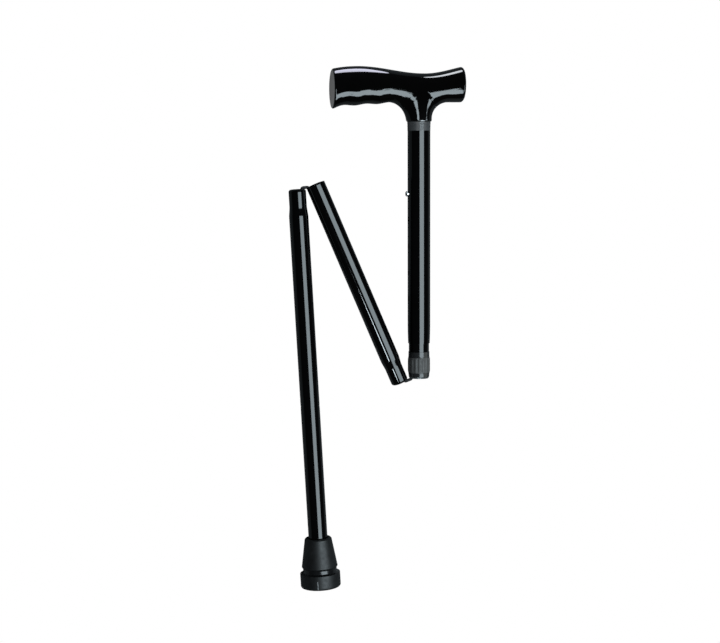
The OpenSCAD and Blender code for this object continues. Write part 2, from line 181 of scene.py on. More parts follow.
FINISHES = {
    "gloss_black": dict(
        dark=(0.0008, 0.0008, 0.0009), light=(0.0014, 0.0014, 0.0015), rough=(0.04, 0.07),
        grain=900.0, depth=2e-6),
    "black_tube": dict(
        dark=(0.0008, 0.0008, 0.001), light=(0.0014, 0.0014, 0.0016), rough=(0.05, 0.09),
        grain=1600.0, depth=1e-6),
    "grey_plastic": dict(
        dark=(0.045, 0.047, 0.049), light=(0.058, 0.06, 0.062), rough=(0.2, 0.3),
        grain=5000.0, depth=6e-6, patch=140.0),
    "black_plastic": dict(
        dark=(0.0012, 0.0012, 0.0013), light=(0.002, 0.002, 0.0022), rough=(0.08, 0.12),
        grain=3000.0, depth=2e-6, patch=140.0),
    "steel": dict(
        dark=(0.5, 0.51, 0.52), light=(0.62, 0.63, 0.64), rough=(0.22, 0.38),
        grain=4000.0, depth=6e-6, patch=160.0, metallic=1.0),
    "bright_steel": dict(
        dark=(0.72, 0.73, 0.74), light=(0.82, 0.83, 0.84), rough=(0.14, 0.24),
        grain=4000.0, depth=2e-6, patch=300.0, metallic=1.0),
    "cord": dict(
        dark=(0.003, 0.003, 0.0033), light=(0.008, 0.008, 0.0085), rough=(0.6, 0.8),
        grain=9000.0, depth=4e-5, patch=400.0),
    "rubber": dict(
        dark=(0.005, 0.005, 0.0053), light=(0.009, 0.009, 0.0094), rough=(0.42, 0.58),
        grain=3500.0, depth=2.5e-5, patch=110.0),
    "satin_grey": dict(
        dark=(0.037, 0.035, 0.034), light=(0.048, 0.045, 0.044), rough=(0.52, 0.64),
        grain=5000.0, depth=6e-6, patch=140.0),
    "polished_grey": dict(
        dark=(0.01, 0.01, 0.0105), light=(0.015, 0.015, 0.0155), rough=(0.12, 0.2),
        grain=5000.0, depth=2e-6, patch=140.0),
    "rubbed_rubber": dict(
        dark=(0.006, 0.006, 0.0063), light=(0.01, 0.01, 0.0105), rough=(0.14, 0.24),
        grain=3500.0, depth=4e-6, patch=300.0),
    # Pale grey for the tip's moulding line: a painted highlight that stands in for the glint on its ridge, not dust
    "painted_highlight_rubber": dict(
        dark=(0.12, 0.12, 0.122), light=(0.3, 0.3, 0.305), rough=(0.6, 0.8),
        grain=3500.0, depth=1e-5, patch=400.0),
}
MATERIALS = {name: surface(name, **finish) for name, finish in FINISHES.items()}
for subpart in frame["record"]["subparts"]:
    carried = frame["nodes"][subpart["node"]]
    for carried_slot in carried.material_slots:
        carried_slot.material = MATERIALS[subpart["material_slot"]]


# Mesh making

def piece(name, points, faces, body, slot, *nodes):
    """A closed mesh piece that rides on a body and stands for CAD nodes."""
    mesh = bpy.data.meshes.new(name)
    shape = bmesh.new()
    corners = [shape.verts.new(point) for point in points]
    for face in faces:
        shape.faces.new([corners[i] for i in face])
    bmesh.ops.remove_doubles(shape, verts=shape.verts, dist=WELD)
    bmesh.ops.dissolve_degenerate(shape, edges=shape.edges, dist=WELD)
    bmesh.ops.recalc_face_normals(shape, faces=shape.faces)
    shape.to_mesh(mesh)
    shape.free()
    mesh.shade_smooth()
    mesh.set_sharp_from_angle(angle=SHARP_ANGLE)
    made = bpy.data.objects.new(name, mesh)
    bpy.context.scene.collection.objects.link(made)
    mesh.materials.append(MATERIALS[slot])
    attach(made, body)
    if nodes:
        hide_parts(*nodes)
    return made


def refinish(made, place, finish, chosen):
    """Gives another finish to the faces that are chosen by their radius and height in a section's frame."""
    made.data.materials.append(MATERIALS[finish])
    to_section = place.inverted()
    for face in made.data.polygons:
        here = to_section @ face.center
        if chosen(math.hypot(here.x, here.y), here.z):
            face.material_index = len(made.data.materials) - 1


def grid_faces(rows, columns, looped=True):
    """Quads of a grid of points whose rows close on themselves, as its columns do if it is looped."""
    return [
        (i * columns + k, i * columns + (k + 1) % columns,
         (i + 1) % rows * columns + (k + 1) % columns, (i + 1) % rows * columns + k)
        for i in range(rows if looped else rows - 1) for k in range(columns)
    ]


def eased(outline, steps=4):
    """An outline of (radius, height, rounding) points with its corners rounded and held by support points."""
    side_share = 0.22
    made = []
    count = len(outline)
    for i, (r, z, rounding) in enumerate(outline):
        here = Vector((r, z))
        before = Vector(outline[i - 1][:2]) - here
        after = Vector(outline[(i + 1) % count][:2]) - here
        reach = min(rounding, side_share * before.length, side_share * after.length)
        if rounding == 0:
            made.append(here)
            continue
        start, end = before.normalized() * reach, after.normalized() * reach
        made.append(here + 2 * start)
        for step in range(steps + 1):
            t = step / steps
            made.append(here + start * (1 - t) ** 2 + end * t ** 2)
        made.append(here + 2 * end)
    return made


def arc(centre_r, centre_z, radius, from_deg, to_deg, steps=8):
    """Points of an arc, ready for an outline."""
    angles = [math.radians(from_deg + (to_deg - from_deg) * i / steps) for i in range(steps + 1)]
    return [(centre_r + radius * math.cos(a), centre_z + radius * math.sin(a), 0) for a in angles]


def dense(outline, step):
    """An outline with points no further apart than a step."""
    made = []
    for i, here in enumerate(outline):
        after = outline[(i + 1) % len(outline)]
        count = max(1, math.ceil((after - here).length / step))
        made += [here.lerp(after, k / count) for k in range(count)]
    return made


def full_turn(sides):
    """Evenly spaced angles."""
    return [2 * math.pi * k / sides for k in range(sides)]


def lathe(place, outline, angles=None, relief=None):
    """Points and faces of an outline turned about a section's axis; relief gives the radius at a place."""
    angles = angles or full_turn(SIDES)
    points = []
    for angle in angles:
        for r, z in outline:
            out = relief(r, z, angle) if relief else r
            points.append(place @ Vector((out * math.cos(angle), out * math.sin(angle), z)))
    return points, grid_faces(len(angles), len(outline))


# Tubes

def tube_outline(length, mouth):
    """Outline of a folding tube with a swaged neck, and with a coned socket mouth if it has one."""
    shoulder = length - NECK_H
    lip_in = LIP_R - NECK_WALL
    lip = length - LIP_R
    swage = 1.2
    low = [(BORE_R, MOUTH_H, swage), (MOUTH_R, 0, EDGE)] if mouth else [(BORE_R, 0, EDGE)]
    return [
        (TUBE_R, 0, EDGE),
        (TUBE_R, shoulder, swage),
        (NECK_R, shoulder + TAPER_LEN, swage),
        *arc(NECK_R - LIP_R, lip, LIP_R, 0, 90),
        *arc(NECK_R - LIP_R, lip, lip_in, 90, 0),
        (NECK_R - NECK_WALL, shoulder + TAPER_LEN, swage),
        (BORE_R, shoulder, swage),
        *low,
    ]


def folding_tube(name, node, place, length, mouth, body):
    """A folding section's tube."""
    points, faces = lathe(place, eased(tube_outline(length, mouth)))
    piece(name, points, faces, body, "black_tube", node)


def holed_tube(name, node, body, low, top, outside, inside, holes, hole_r):
    """A tube of the upper section, holed on its long-arm side; outside and inside give radii at a height."""
    half, cells, rings, lip, roll_steps = 1.7 * hole_r, 8, 4, 0.25, 10
    spread = half / outside(top)
    strip = [math.pi - spread + 2 * spread * i / cells for i in range(cells + 1)]
    columns = [math.pi + spread + (2 * math.pi - 2 * spread) * i / SIDES for i in range(1, SIDES)]
    angles = strip + columns
    heights = {low, top, low + lip, low + MOUTH_H, top - lip}
    heights.update(low + ROLL_H * i / roll_steps for i in range(roll_steps + 1))
    for centre in holes:
        heights.update(centre - half + 2 * half * i / cells for i in range(cells + 1))
    heights = sorted(heights)
    rim = [(i, 0) for i in range(cells)] + [(cells, i) for i in range(cells)]
    rim += [(cells - i, cells) for i in range(cells)] + [(0, cells - i) for i in range(cells)]
    square = [((2 * i / cells - 1) * half, (2 * n / cells - 1) * half) for i, n in rim]
    points, faces = [], []

    def put(angle, z, r):
        points.append(UPPER @ Vector((r * math.cos(angle), r * math.sin(angle), z)))
        return len(points) - 1

    def around(loop_a, loop_b):
        count = len(loop_a)
        for i in range(count):
            faces.append((loop_a[i], loop_a[(i + 1) % count], loop_b[(i + 1) % count], loop_b[i]))

    def ring(centre, radius, reach, t):
        """Loop about a hole, from a square at 0 to a circle of that reach at 1."""
        loop = []
        for u, v in square:
            scale = 1 - t + t * (reach / math.hypot(u, v))
            z = centre + v * scale
            loop.append(put(math.pi + u * scale / outside(top), z, radius(z)))
        return loop

    def skin(radius, chamfer):
        grid = {(i, j): put(a, z, radius(z)) for j, z in enumerate(heights) for i, a in enumerate(angles)}
        starts = [min(range(len(heights)), key=lambda j: abs(heights[j] - centre + half)) for centre in holes]
        covered = {(i, j + n) for j in starts for n in range(cells) for i in range(cells)}
        count = len(angles)
        for j in range(len(heights) - 1):
            for i in range(count):
                if (i, j) not in covered:
                    n = (i + 1) % count
                    faces.append((grid[i, j], grid[n, j], grid[n, j + 1], grid[i, j + 1]))
        mouths = []
        for centre, j in zip(holes, starts):
            loop = [grid[i, j + n] for i, n in rim]
            for step in range(1, rings + 1):
                next_loop = ring(centre, radius, hole_r + chamfer, step / rings)
                around(loop, next_loop)
                loop = next_loop
            mouths.append(loop)
        ends = [[grid[i, j] for i in range(count)] for j in (0, len(heights) - 1)]
        return mouths, ends

    outer_mouths, outer_ends = skin(outside, lip)
    inner_mouths, inner_ends = skin(inside, 0)
    for centre, outer_loop, inner_loop in zip(holes, outer_mouths, inner_mouths):
        edge = ring(centre, lambda z: outside(centre) - lip, hole_r, 1)
        around(outer_loop, edge)
        around(edge, inner_loop)
    for outer_end, inner_end in zip(outer_ends, inner_ends):
        around(outer_end, inner_end)
    piece(name, points, faces, body, "black_tube", node)


def rolled(z):
    """Radius of the handle tube, drawn in at its lower end."""
    share = max(0.0, 1 - (z - OUTER_LOW) / ROLL_H)
    return OUTER_R - ROLL_IN * share ** 2


def coned(z):
    """Bore of the inner tube, opened to a cone at the socket's mouth."""
    return BORE_R + (MOUTH_R - BORE_R) * max(0.0, 1 - z / MOUTH_H)


folding_tube("tube_middle", "middle_tube", MIDDLE, MIDDLE_LEN, True, "middle_section")
folding_tube("tube_lower", "lower_tube", LOWER, LOWER_LEN, True, "lower_section")
folding_tube(
    "tube_bottom", "bottom_tube", BOTTOM @ Matrix.Translation((0, 0, TUBE_FOOT)),
    TIP_H + BOTTOM_BARE + NECK_H - TUBE_FOOT, False, "bottom_section")
holed_tube(
    "tube_outer", "outer_tube", "handle_section", OUTER_LOW, OUTER_TOP, rolled, lambda z: OUTER_BORE,
    [BUTTON_H - HOLE_PITCH * i for i in range(HOLE_COUNT)], HOLE_R)
holed_tube(
    "tube_inner", "inner_tube", "inner_section", 0.0, INNER_TOP, lambda z: INNER_R, coned,
    [BUTTON_H], INNER_HOLE_R)


# Collar and nut

def collar():
    """Grey collar with fine grooves round its band and a spigot at each end."""
    grooves, groove_w, groove_d, groove_round = 5, 0.5, 0.16, 0.1
    spigot_r, spigot_h, cup_r, web_h, screw_r = 9.0, 18.0, 7.4, 3.0, 2.03
    low_r, high_r = OUTER_R + 0.1, OUTER_R + 0.35
    band = []
    for i in range(1, grooves + 1):
        middle = BAND_H * i / (grooves + 1)
        r = low_r + (high_r - low_r) * i / (grooves + 1)
        band += [
            (r, middle - groove_w, groove_round), (r - groove_d, middle, groove_round),
            (r, middle + groove_w, groove_round),
        ]
    outline = eased([
        (screw_r, -web_h, EDGE), (cup_r, -web_h, EDGE), (cup_r, -spigot_h, EDGE),
        (OUTER_BORE - FIT_GAP, -spigot_h, EDGE), (OUTER_BORE - FIT_GAP, 0, 0), (low_r, 0, EDGE),
        *band,
        (high_r, BAND_H, EDGE), (spigot_r, BAND_H, 0), (spigot_r, BAND_H + spigot_h, EDGE),
        (screw_r, BAND_H + spigot_h, EDGE),
    ])
    points, faces = lathe(UPPER @ Matrix.Translation((0, 0, OUTER_TOP)), outline)
    piece("collar", points, faces, "handle_section", "grey_plastic", "handle_collar")


def nut():
    """Grey nut with soft satin flutes that run out on its polished rims."""
    low, top, wide, rim = 0.3, 26.1, 10.85, 10.25
    bore, lip_r, lip_w, step = 9.84, 9.35, 0.1, 6.2
    nose_h, nose_in = 1.6, 0.25
    rim_low, body_low, body_top, rim_top = 4.6, 7.6, 18.6, 21.6
    flutes, sink, rise, half_share, soft, per_flute = 16, 0.45, 0.2, 0.47, 0.25, 18
    satin_low, satin_top = 5.6, 20.6
    plain_r, plain_h = bore + 0.05, low + 0.1
    outline = eased([
        (lip_r, low, EDGE), (lip_r + lip_w, low, EDGE), (rim - nose_in, nose_h, 0.4), (rim, rim_low, 0.5),
        (wide, body_low, 0.6), (wide, body_top, 0.6), (rim, rim_top, 0.5), (rim, top, 0.3),
        (bore, top, EDGE), (bore, step, EDGE), (lip_r, step, EDGE),
    ], steps=5)

    def fluted(r, z, angle):
        if r <= plain_r or z < plain_h:
            return r
        period = 2 * math.pi / flutes
        off = (angle + period / 2) % period - period / 2
        share = min(1.0, abs(off) / (half_share * period))
        flute = wide + rise - (sink + rise) * math.cos(math.pi / 2 * share) ** 2
        blend = max(0.0, 1 - abs(r - flute) / soft)
        return min(r, flute) - soft / 4 * blend ** 2 * (share < 1)

    points, faces = lathe(UPPER, dense(outline, step=0.8), full_turn(flutes * per_flute), fluted)
    made = piece("nut", points, faces, "nut", "grey_plastic", "lock_nut")
    refinish(made, UPPER, "satin_grey", lambda r, z: r > bore and satin_low < z < satin_top)
    refinish(made, UPPER, "polished_grey", lambda r, z: r > bore and not satin_low < z < satin_top)


collar()
nut()


# Rubber tip

def tip():
    """Flared rubber tip with a ground ring, ring treads and a moulding line down the ring's front."""
    ring_h, ring_round, ring_depth, bevel_h, bevel_w = 14.5, 2.2, 2, 0.3, 0.7
    groove_r, groove_low, groove_top, cone_low = 16.45, 0.8, 1.5, 20.5
    # Beyond this much past the ring's radius, the moulding line's ridge gets its painted highlight
    rubbed_stop, painted_highlight_from = 0.5, 0.1
    socket_floor, chamfer, mouth_bevel = 10.0, 1.1, 1.4
    treads, tread_w, tread_h = (7.0, 12.5), 2.0, 1.2
    line_at, line_w, line_out = math.radians(-110), 0.6, 0.35
    line_low, line_top, fade_low, fade_top = 0.3, 9.5, 0.8, 1.5
    fine_reach, fine_steps = 1.2, 6
    ground = [(0, 0, 0)]
    for r in treads:
        ground += [(r, 0, 0.15), (r, tread_h, 0.3), (r + tread_w, tread_h, 0.3), (r + tread_w, 0, 0.15)]
    outline = eased([
        *ground,
        *arc(TIP_R - ring_round, ring_round, ring_round, -90, 0),
        (TIP_R, ring_h - bevel_h, 0.7), (TIP_R - bevel_w, ring_h, 0.5),
        (groove_r, ring_h + groove_low, 0.8), (groove_r, cone_low - groove_top, 0.8), (TIP_CONE_R, cone_low, 0.4),
        (TIP_TOP_R, TIP_H - chamfer, 0.5), (TIP_TOP_R - chamfer, TIP_H, 0.5), (TUBE_R + mouth_bevel, TIP_H, 0.4),
        (TUBE_R + FIT_GAP, TIP_H - mouth_bevel, 0.3), (TUBE_R + FIT_GAP, socket_floor, 0.3), (0, socket_floor, 0),
    ])

    def moulded(r, z, angle):
        off = (angle - line_at + math.pi) % (2 * math.pi) - math.pi
        across = abs(off) * r / line_w
        if r < TIP_R - ring_depth or across >= 1 or not line_low < z < line_top:
            return r
        fade = min(1.0, (line_top - z) / fade_top, (z - line_low) / fade_low)
        return r + line_out * fade * (1 - across ** 2)

    fine = [line_at + fine_reach * line_w / TIP_R * i / fine_steps for i in range(-fine_steps, fine_steps + 1)]
    angles = sorted({a % (2 * math.pi) for a in full_turn(SIDES) + fine})
    points, faces = lathe(BOTTOM, dense(outline, step=1.5), angles, moulded)
    made = piece("tip", points, faces, "bottom_section", "rubber", "rubber_tip")
    refinish(made, BOTTOM, "rubbed_rubber", lambda r, z: ring_h < z < cone_low - rubbed_stop and r > TIP_TOP_R)
    # The moulding line's ridge is painted pale grey as a painted highlight
    refinish(made, BOTTOM, "painted_highlight_rubber", lambda r, z: r > TIP_R + painted_highlight_from)


tip()


# Handle

GRIP = {
    "long_arm": 86.0, "short_arm": 44.5, "crest_h": 52.7, "dip_h": 46.1, "under_h": 18.6,
    "palm_t": 14.4, "waist_t": 12.8, "neck_r": 12.4, "finger_pitch": 22.0, "finger_depth": 1.0,
    "end_round": 1.6, "nose_round": 3.5, "crest_x": -60.0, "dip_x": 5.2, "end_drop": 2.4,
    "nose_run": 60.0, "nose_rise": 9.5, "wave_start": -30.3, "under_slope": 0.06,
    "heel_run": 12.0, "heel_drop": 2.3, "long_fillet": (17.9, 19.8), "short_fillet": (16.6, 15.5),
    "foot_round": 1.3, "end_thinning": 0.9, "nose_widening": 0.5, "socket_r": 9.03, "socket_h": 18.3,
    "screw_r": 2.03, "screw_h": 34.0,
}


def ease(t):
    """A smooth step from 0 to 1."""
    return (1 - math.cos(math.pi * t)) / 2


def top_of(x):
    """Height of the handle's top edge."""
    g = GRIP
    if x < g["crest_x"]:
        return g["crest_h"] - g["end_drop"] * ((g["crest_x"] - x) / (g["long_arm"] + g["crest_x"])) ** 2
    if x < g["dip_x"]:
        return g["crest_h"] - (g["crest_h"] - g["dip_h"]) * ease((x - g["crest_x"]) / (g["dip_x"] - g["crest_x"]))
    return g["dip_h"] + g["nose_rise"] * ease((x - g["dip_x"]) / g["nose_run"])


def under_of(x):
    """Height of the handle's underside, with finger waves under the long arm."""
    g = GRIP
    run = g["wave_start"] - x
    if run < 0:
        return g["under_h"]
    heel = g["heel_drop"] * (max(0.0, g["heel_run"] - g["long_arm"] - x) / g["heel_run"]) ** 2
    waves = g["finger_depth"] * ease(2 * run / g["finger_pitch"])
    return g["under_h"] - g["under_slope"] * run - heel - waves


def half_of(x):
    """Half thickness of the handle."""
    g = GRIP
    if x < g["crest_x"]:
        return g["palm_t"] - g["end_thinning"] * ((g["crest_x"] - x) / (g["long_arm"] + g["crest_x"])) ** 2
    if x < 0:
        return g["palm_t"] + (g["waist_t"] - g["palm_t"]) * ease((x - g["crest_x"]) / -g["crest_x"])
    return g["waist_t"] + g["nose_widening"] * ease(x / g["short_arm"])


def fillet(side, w):
    """Point on the fillet between an arm and the neck, from the arm at 0 to the neck at 1."""
    run, drop = GRIP["long_fillet"] if side < 0 else GRIP["short_fillet"]
    turn = math.radians(90 * w)
    x = GRIP["neck_r"] + run * (1 - math.sin(turn))
    return side * x, GRIP["under_h"] - drop * (1 - math.cos(turn))


def grip_stations(side, arm_steps, fillet_steps, end_steps):
    """Places along one arm from its end to the shaft axis, each with its end rounding and its lower edge."""
    reach, rounding = (GRIP["long_arm"], GRIP["end_round"]) if side < 0 else (GRIP["short_arm"], GRIP["nose_round"])
    foot = abs(fillet(side, 0)[0])
    made = []
    for i in range(end_steps):
        a = math.pi / 2 * i / end_steps
        x, inset = side * (reach - rounding * (1 - math.cos(a))), rounding * (1 - math.sin(a))
        made.append((x, inset, (x, under_of(x) + inset)))
    for i in range(arm_steps):
        x = side * (reach - rounding + (foot - reach + rounding) * i / arm_steps)
        made.append((x, 0.0, (x, under_of(x))))
    for i in range(fillet_steps + 1):
        x = side * foot * (1 - i / fillet_steps)
        made.append((x, 0.0, fillet(side, 0.5 * i / fillet_steps)))
    return made


NECK_STRAIGHT = 0.12


def stem_edge(side, s, foot_y):
    """Point on the neck's outline, from the fillet's middle at 0 to the neck's foot at 1."""
    drop = GRIP["long_fillet"][1] if side < 0 else GRIP["short_fillet"][1]
    end = min(1.0, math.degrees(math.acos(max(0.0, 1 - (GRIP["under_h"] - foot_y) / drop))) / 90)
    straight = 0.0 if end < 1 else NECK_STRAIGHT
    if s < 1 - straight:
        return fillet(side, 0.5 + (end - 0.5) * s / (1 - straight))
    low = fillet(side, end)[1]
    return side * GRIP["neck_r"], low + (foot_y - low) * (s - 1 + straight) / straight if straight else foot_y


def smooth_moulding(made):
    """Evens out the handle's skin without shrinking it; its ends, foot and bore stay as they are."""
    rounds, shrink, swell = 200, 0.5, -0.52
    bore_r, bore_h = 9.5, 34.5
    end_margin, nose_margin, end_blend, foot_margin, foot_blend = 2, 1, 4, 2, 5
    mesh = made.data
    count = len(mesh.vertices)
    co = np.zeros(count * 3)
    mesh.vertices.foreach_get("co", co)
    co = co.reshape(-1, 3)
    ends = np.zeros(len(mesh.edges) * 2, int)
    mesh.edges.foreach_get("vertices", ends)
    a, b = ends.reshape(-1, 2).T
    degree = np.bincount(ends, minlength=count)[:, None]
    here = (co - np.array(GRIP_FOOT)) / MM
    bore = (np.hypot(here[:, 0], here[:, 2]) < bore_r) & (here[:, 1] < bore_h)
    from_end = np.minimum(here[:, 0] + GRIP["long_arm"] - end_margin, GRIP["short_arm"] - nose_margin - here[:, 0])
    from_foot = here[:, 1] - foot_margin
    weight = np.clip(np.minimum(from_end / end_blend, from_foot / foot_blend), 0, 1)
    weight[bore] = 0
    weight = weight[:, None]
    for _ in range(rounds):
        for factor in (shrink, swell):
            total = [np.bincount(a, co[b, k], count) + np.bincount(b, co[a, k], count) for k in range(3)]
            co = co + factor * weight * (np.stack(total, 1) / degree - co)
    mesh.vertices.foreach_set("co", co.ravel())
    mesh.update()


def grip():
    """Handle whose elliptical ribs run from its outline in to a T-shaped spine, smoothed as one moulding."""
    rib_steps, stem_steps, foot_steps = 16, 26, 5
    foot_y = GRIP["foot_round"]
    points, faces = [], []

    def spine(x):
        return x, (top_of(x) + under_of(x)) / 2

    def rib(edge, core, half, z):
        angles = [math.pi / 2 * k / rib_steps for k in range(rib_steps + 1)]
        return [
            (core[0] + (edge[0] - core[0]) * math.cos(a), core[1] + (edge[1] - core[1]) * math.cos(a),
             z * half * math.sin(a)) for a in angles
        ]

    def skin(lines, closed=False):
        first = len(points)
        count = len(lines[0])
        for line in lines:
            points.extend(line)
        for i in range(len(lines) - 1):
            for k in range(count if closed else count - 1):
                n = (k + 1) % count
                a, b = first + i * count, first + (i + 1) * count
                faces.append((a + k, a + n, b + n, b + k))

    def cap(loop, centre):
        scales = (1, 0.97, 0.6, 0.3, 0)
        skin([[tuple(c + (v - c) * s for v, c in zip(p, centre)) for p in loop] for s in scales], True)

    def ring(upper, lower):
        return upper[0] + lower[0][::-1][1:] + lower[1][1:] + upper[1][::-1][1:-1]

    left = grip_stations(-1, arm_steps=34, fillet_steps=20, end_steps=6)
    right = grip_stations(1, arm_steps=8, fillet_steps=20, end_steps=8)
    stem_top = spine(0)
    for side, stations in ((-1, left), (1, right)):
        for z in (1, -1):
            upper = [rib((x, top_of(x) - e), spine(x), half_of(x) - e, z) for x, e, low in stations]
            lower = [rib(low, spine(x), half_of(x) - e, z) for x, e, low in stations]
            for q in range(1, stem_steps + 1):
                s = q / stem_steps
                core = (0, stem_top[1] + (foot_y - stem_top[1]) * s)
                edge = stem_edge(side, s, foot_y)
                half = GRIP["waist_t"] + (GRIP["neck_r"] - GRIP["waist_t"]) * s
                lower.append(rib(edge, core, half, z))
            skin(upper)
            skin(lower)
        x, e, low = stations[0]
        top = [rib((x, top_of(x) - e), spine(x), half_of(x) - e, z) for z in (1, -1)]
        base = [rib(low, spine(x), half_of(x) - e, z) for z in (1, -1)]
        cap(ring(top, base), (*spine(x), 0))
    foot = [(GRIP["neck_r"] - foot_y * (1 - math.cos(a)), foot_y * (1 - math.sin(a)))
            for a in [math.pi / 2 * i / foot_steps for i in range(foot_steps + 1)]]
    socket_r, socket_h, screw_r, screw_h = (GRIP[key] for key in ("socket_r", "socket_h", "screw_r", "screw_h"))
    bore = [(socket_r, 0), (socket_r, socket_h), (screw_r, socket_h), (screw_r, screw_h), (0, screw_h)]
    turns = full_turn(4 * rib_steps)
    skin([[(r * math.cos(a), y, r * math.sin(a)) for a in turns] for r, y in foot + bore], True)
    made = piece(
        "grip", [GRIP_FOOT + Vector(p) * MM for p in points], faces, "handle_section", "gloss_black", "handle_grip")
    smooth_moulding(made)


grip()


# Cord

CORD_R = 1.5
SOCKET_RUN, NECK_RUN, RIM_SINK = 32.0, 24.0, 0.6
RIM_AT = (MOUTH_R + INNER_R) / 2
LIP_INSET, WRAP_GAP = 0.3, 0.25
LIP_AT = NECK_R - LIP_R + LIP_INSET
WRAP_R = CORD_R + WRAP_GAP


def plan(place, x, z):
    """Plan point in millimetres of a place beside a section's axis."""
    return (place @ Vector((x, 0, z))).to_2d() / MM


def bearing(v):
    """Angle of a plan vector."""
    return math.atan2(v.y, v.x)


def onward(start, end, way):
    """An angle brought to less than a turn past another one, the way the cord bends."""
    return start + way * ((way * (end - start)) % (2 * math.pi))


def cord_route(start, rim, lip, stop, way):
    """Plan route of a cord that leaves one tube, bends over two rims and enters the next."""
    on = bearing(start - rim) + way * math.acos(WRAP_R / (start - rim).length)
    across = onward(on, bearing(lip - rim) - way * math.pi / 2, way)
    off = onward(across, bearing(stop - lip) - way * math.acos(WRAP_R / (stop - lip).length), way)
    bend_steps = 24
    route = [start]
    for centre, first, last in ((rim, on, across), (lip, across, off)):
        for i in range(bend_steps + 1):
            a = first + (last - first) * i / bend_steps
            route.append(centre + WRAP_R * Vector((math.cos(a), math.sin(a))))
    return route + [stop]


def evenly(route, step):
    """The route with points a step apart."""
    lengths = [0.0]
    for a, b in zip(route, route[1:]):
        lengths.append(lengths[-1] + (b - a).length)
    made, i = [], 0
    count = int(lengths[-1] / step)
    for k in range(count + 1):
        at = lengths[-1] * k / count
        while i < len(route) - 2 and lengths[i + 1] < at:
            i += 1
        made.append(route[i].lerp(route[i + 1], (at - lengths[i]) / max(1e-9, lengths[i + 1] - lengths[i])))
    return made


def cord_turn(name, node, body, route):
    """A braided cord over an open joint's rims."""
    sides, step, strands, lay, relief = 40, 0.3, 8, 0.52, 0.07
    route = evenly(route, step)
    points = []
    for i, here in enumerate(route):
        along = (route[min(i + 1, len(route) - 1)] - route[max(i - 1, 0)]).normalized()
        for a in full_turn(sides):
            weave = max(math.cos(strands * (a + lay * i * step)), math.cos(strands * (a - lay * i * step)))
            r = CORD_R + relief * (weave - 1)
            side = r * math.cos(a)
            points.append(Vector((here.x - side * along.y, here.y + side * along.x, r * math.sin(a))) * MM
                          + Vector((0, 0, axis_z)))
    faces = grid_faces(len(route), sides, looped=False)
    last = (len(route) - 1) * sides
    faces += [tuple(range(sides)), tuple(range(last, last + sides))]
    made = piece(name, points, faces, body, "cord", node)
    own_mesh(made)


cord_turn(
    "cord_turn_upper", "cord_bend_upper", "upper_link", cord_route(
        plan(UPPER, 0, SOCKET_RUN), plan(UPPER, -RIM_AT, RIM_SINK),
        plan(MIDDLE, -LIP_AT, MIDDLE_LEN - RIM_SINK), plan(MIDDLE, 0, MIDDLE_LEN - NECK_RUN), -1))
cord_turn(
    "cord_turn_lower", "cord_bend_lower", "lower_link", cord_route(
        plan(MIDDLE, 0, SOCKET_RUN), plan(MIDDLE, RIM_AT, RIM_SINK),
        plan(LOWER, LIP_AT, LOWER_LEN - RIM_SINK), plan(LOWER, 0, LOWER_LEN - NECK_RUN), 1))


# Studio

def camera_switch(tree, to_object, to_camera, out):
    """Shows one shader to the object, and another to the camera."""
    path = tree.nodes.new("ShaderNodeLightPath")
    mix = tree.nodes.new("ShaderNodeMixShader")
    tree.links.new(path.outputs["Is Camera Ray"], mix.inputs["Fac"])
    tree.links.new(to_object.outputs[0], mix.inputs[1])
    tree.links.new(to_camera.outputs[0], mix.inputs[2])
    tree.links.new(mix.outputs["Shader"], out.inputs["Surface"])


def floor():
    """Floor that is plain white to the camera, mirrors as a dim grey and throws soft light back."""
    half, drop, grey, roughness = 4.0, 0.0003, 0.15, 0.9
    mesh = bpy.data.meshes.new("floor")
    mesh.from_pydata([(-half, -half, 0), (half, -half, 0), (half, half, 0), (-half, half, 0)], [], [(0, 1, 2, 3)])
    made = bpy.data.objects.new("floor", mesh)
    made.location.z = -drop
    bpy.context.scene.collection.objects.link(made)
    paint = bpy.data.materials.new("floor")
    paint.use_nodes = True
    tree = paint.node_tree
    dim = tree.nodes["Principled BSDF"]
    dim.inputs["Base Color"].default_value = (grey, grey, grey, 1)
    dim.inputs["Roughness"].default_value = roughness
    dim.inputs["Specular IOR Level"].default_value = 0.0
    white = tree.nodes.new("ShaderNodeEmission")
    white.inputs["Strength"].default_value = 1.0
    camera_switch(tree, dim, white, tree.nodes["Material Output"])
    mesh.materials.append(paint)


def sky():
    """White to the camera, and a dim room to the object."""
    room = 0.02
    world = bpy.data.worlds.new("studio")
    world.use_nodes = True
    tree = world.node_tree
    dim = tree.nodes["Background"]
    dim.inputs["Color"].default_value = (1, 1, 1, 1)
    dim.inputs["Strength"].default_value = room
    white = tree.nodes.new("ShaderNodeBackground")
    white.inputs["Strength"].default_value = 1.0
    camera_switch(tree, dim, white, tree.nodes["World Output"])
    bpy.context.scene.world = world


# Lights, placed in metres so that the pieces mirror them where the photo shows reflections
BOX_Z = 1.4
DOWN, UP, TO_FRONT = (0, 0, -1), (0, 0, 1), (0, -1, 0)
COOL, NEUTRAL = (0.79, 0.93, 1.0), (1, 1, 1)


def softbox(name, place, size, radiance, facing=DOWN, spin=0.0, shape="RECTANGLE", tint=COOL, beam=180):
    """An even light that faces one way; its width runs along X before it is spun, and its beam is in degrees."""
    width, height = size
    lamp = bpy.data.lights.new(name, "AREA")
    lamp.shape = shape
    lamp.size, lamp.size_y = width, height
    lamp.energy = radiance * math.pi * width * height * (math.pi / 4 if shape == "ELLIPSE" else 1)
    lamp.color = tint
    lamp.spread = math.radians(beam)
    made = bpy.data.objects.new(name, lamp)
    back = -Vector(facing).normalized()
    side = (Vector((1, 0, 0)) - back.x * back).normalized()
    turn = Matrix((side, back.cross(side), back)).transposed().to_4x4()
    made.matrix_world = Matrix.Translation(place) @ turn @ Matrix.Rotation(math.radians(spin), 4, "Z")
    made.visible_camera = False
    bpy.context.scene.collection.objects.link(made)
    return made


